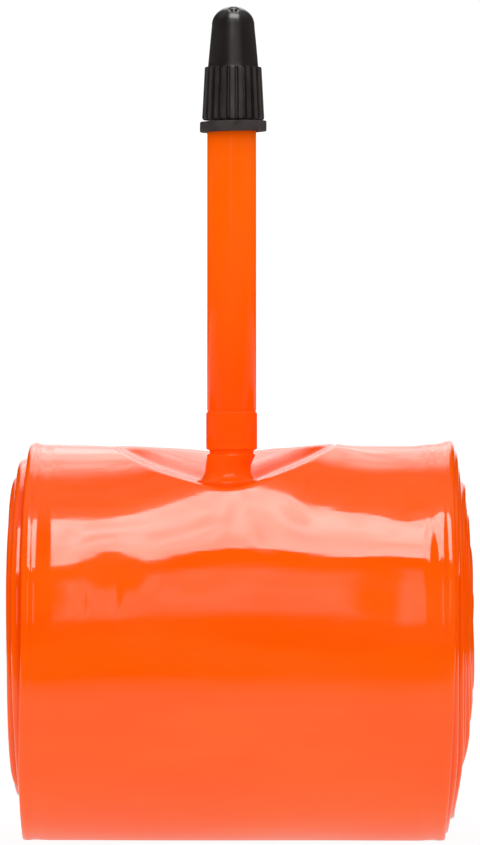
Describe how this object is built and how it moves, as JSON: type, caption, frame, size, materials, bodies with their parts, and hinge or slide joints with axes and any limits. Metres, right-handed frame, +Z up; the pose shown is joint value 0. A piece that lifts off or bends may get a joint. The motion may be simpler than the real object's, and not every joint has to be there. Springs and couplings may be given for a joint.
{
  "type": "inner tube",
  "caption": "Bicycle inner tube of flattened film, laid double and rolled up, standing on its roll with its long valve and ribbed dust cap on top.",
  "frame": {"origin": "under the middle of the roll, on the surface that it rests on", "axes": "+Z up along the valve, +X along the roll's axis, -Y towards the side that the valve leans over"},
  "size_m": [0.058, 0.0498, 0.1052],
  "materials": {
    "film": "glossy orange film with soft wrinkles",
    "stem": "satin orange moulding",
    "insert": "plain turned brass",
    "core": "nickel plated, satin",
    "seal": "matte black rubber",
    "ring": "matte black rubber",
    "cap": "satin black moulding"
  },
  "bodies": {
    "tube": {"rolled_tube": "film", "valve_patch": "film", "valve_stem": "stem", "stem_insert": "insert"},
    "core": {"core_body": "core", "core_seal": "seal"},
    "pin": {"valve_pin": "core", "pin_seal": "seal"},
    "nut": {"lock_nut": "core"},
    "cap": {"dust_cap": "cap"},
    "ring": {"stem_ring": "ring"}
  },
  "joints": [
    {"name": "core_lift", "type": "slide", "parent": "tube", "child": "core", "axis": [0, 0, 1], "range_m": [0, 0.016]},
    {"name": "pin_press", "type": "slide", "parent": "core", "child": "pin", "axis": [0, 0, 1], "range_m": [-0.0018, 0]},
    {"name": "nut_turn", "type": "hinge", "parent": "pin", "child": "nut", "pos_m": [-0.00085, -0.0087, 0.1], "axis": [0, 0, 1], "range_deg": [-1440, 360]},
    {"name": "cap_lift", "type": "slide", "parent": "core", "child": "cap", "axis": [0, 0, 1], "range_m": [0, 0.016]},
    {"name": "ring_slide", "type": "slide", "parent": "tube", "child": "ring", "axis": [0, 0, 1], "range_m": [-0.034, 0]}
  ]
}
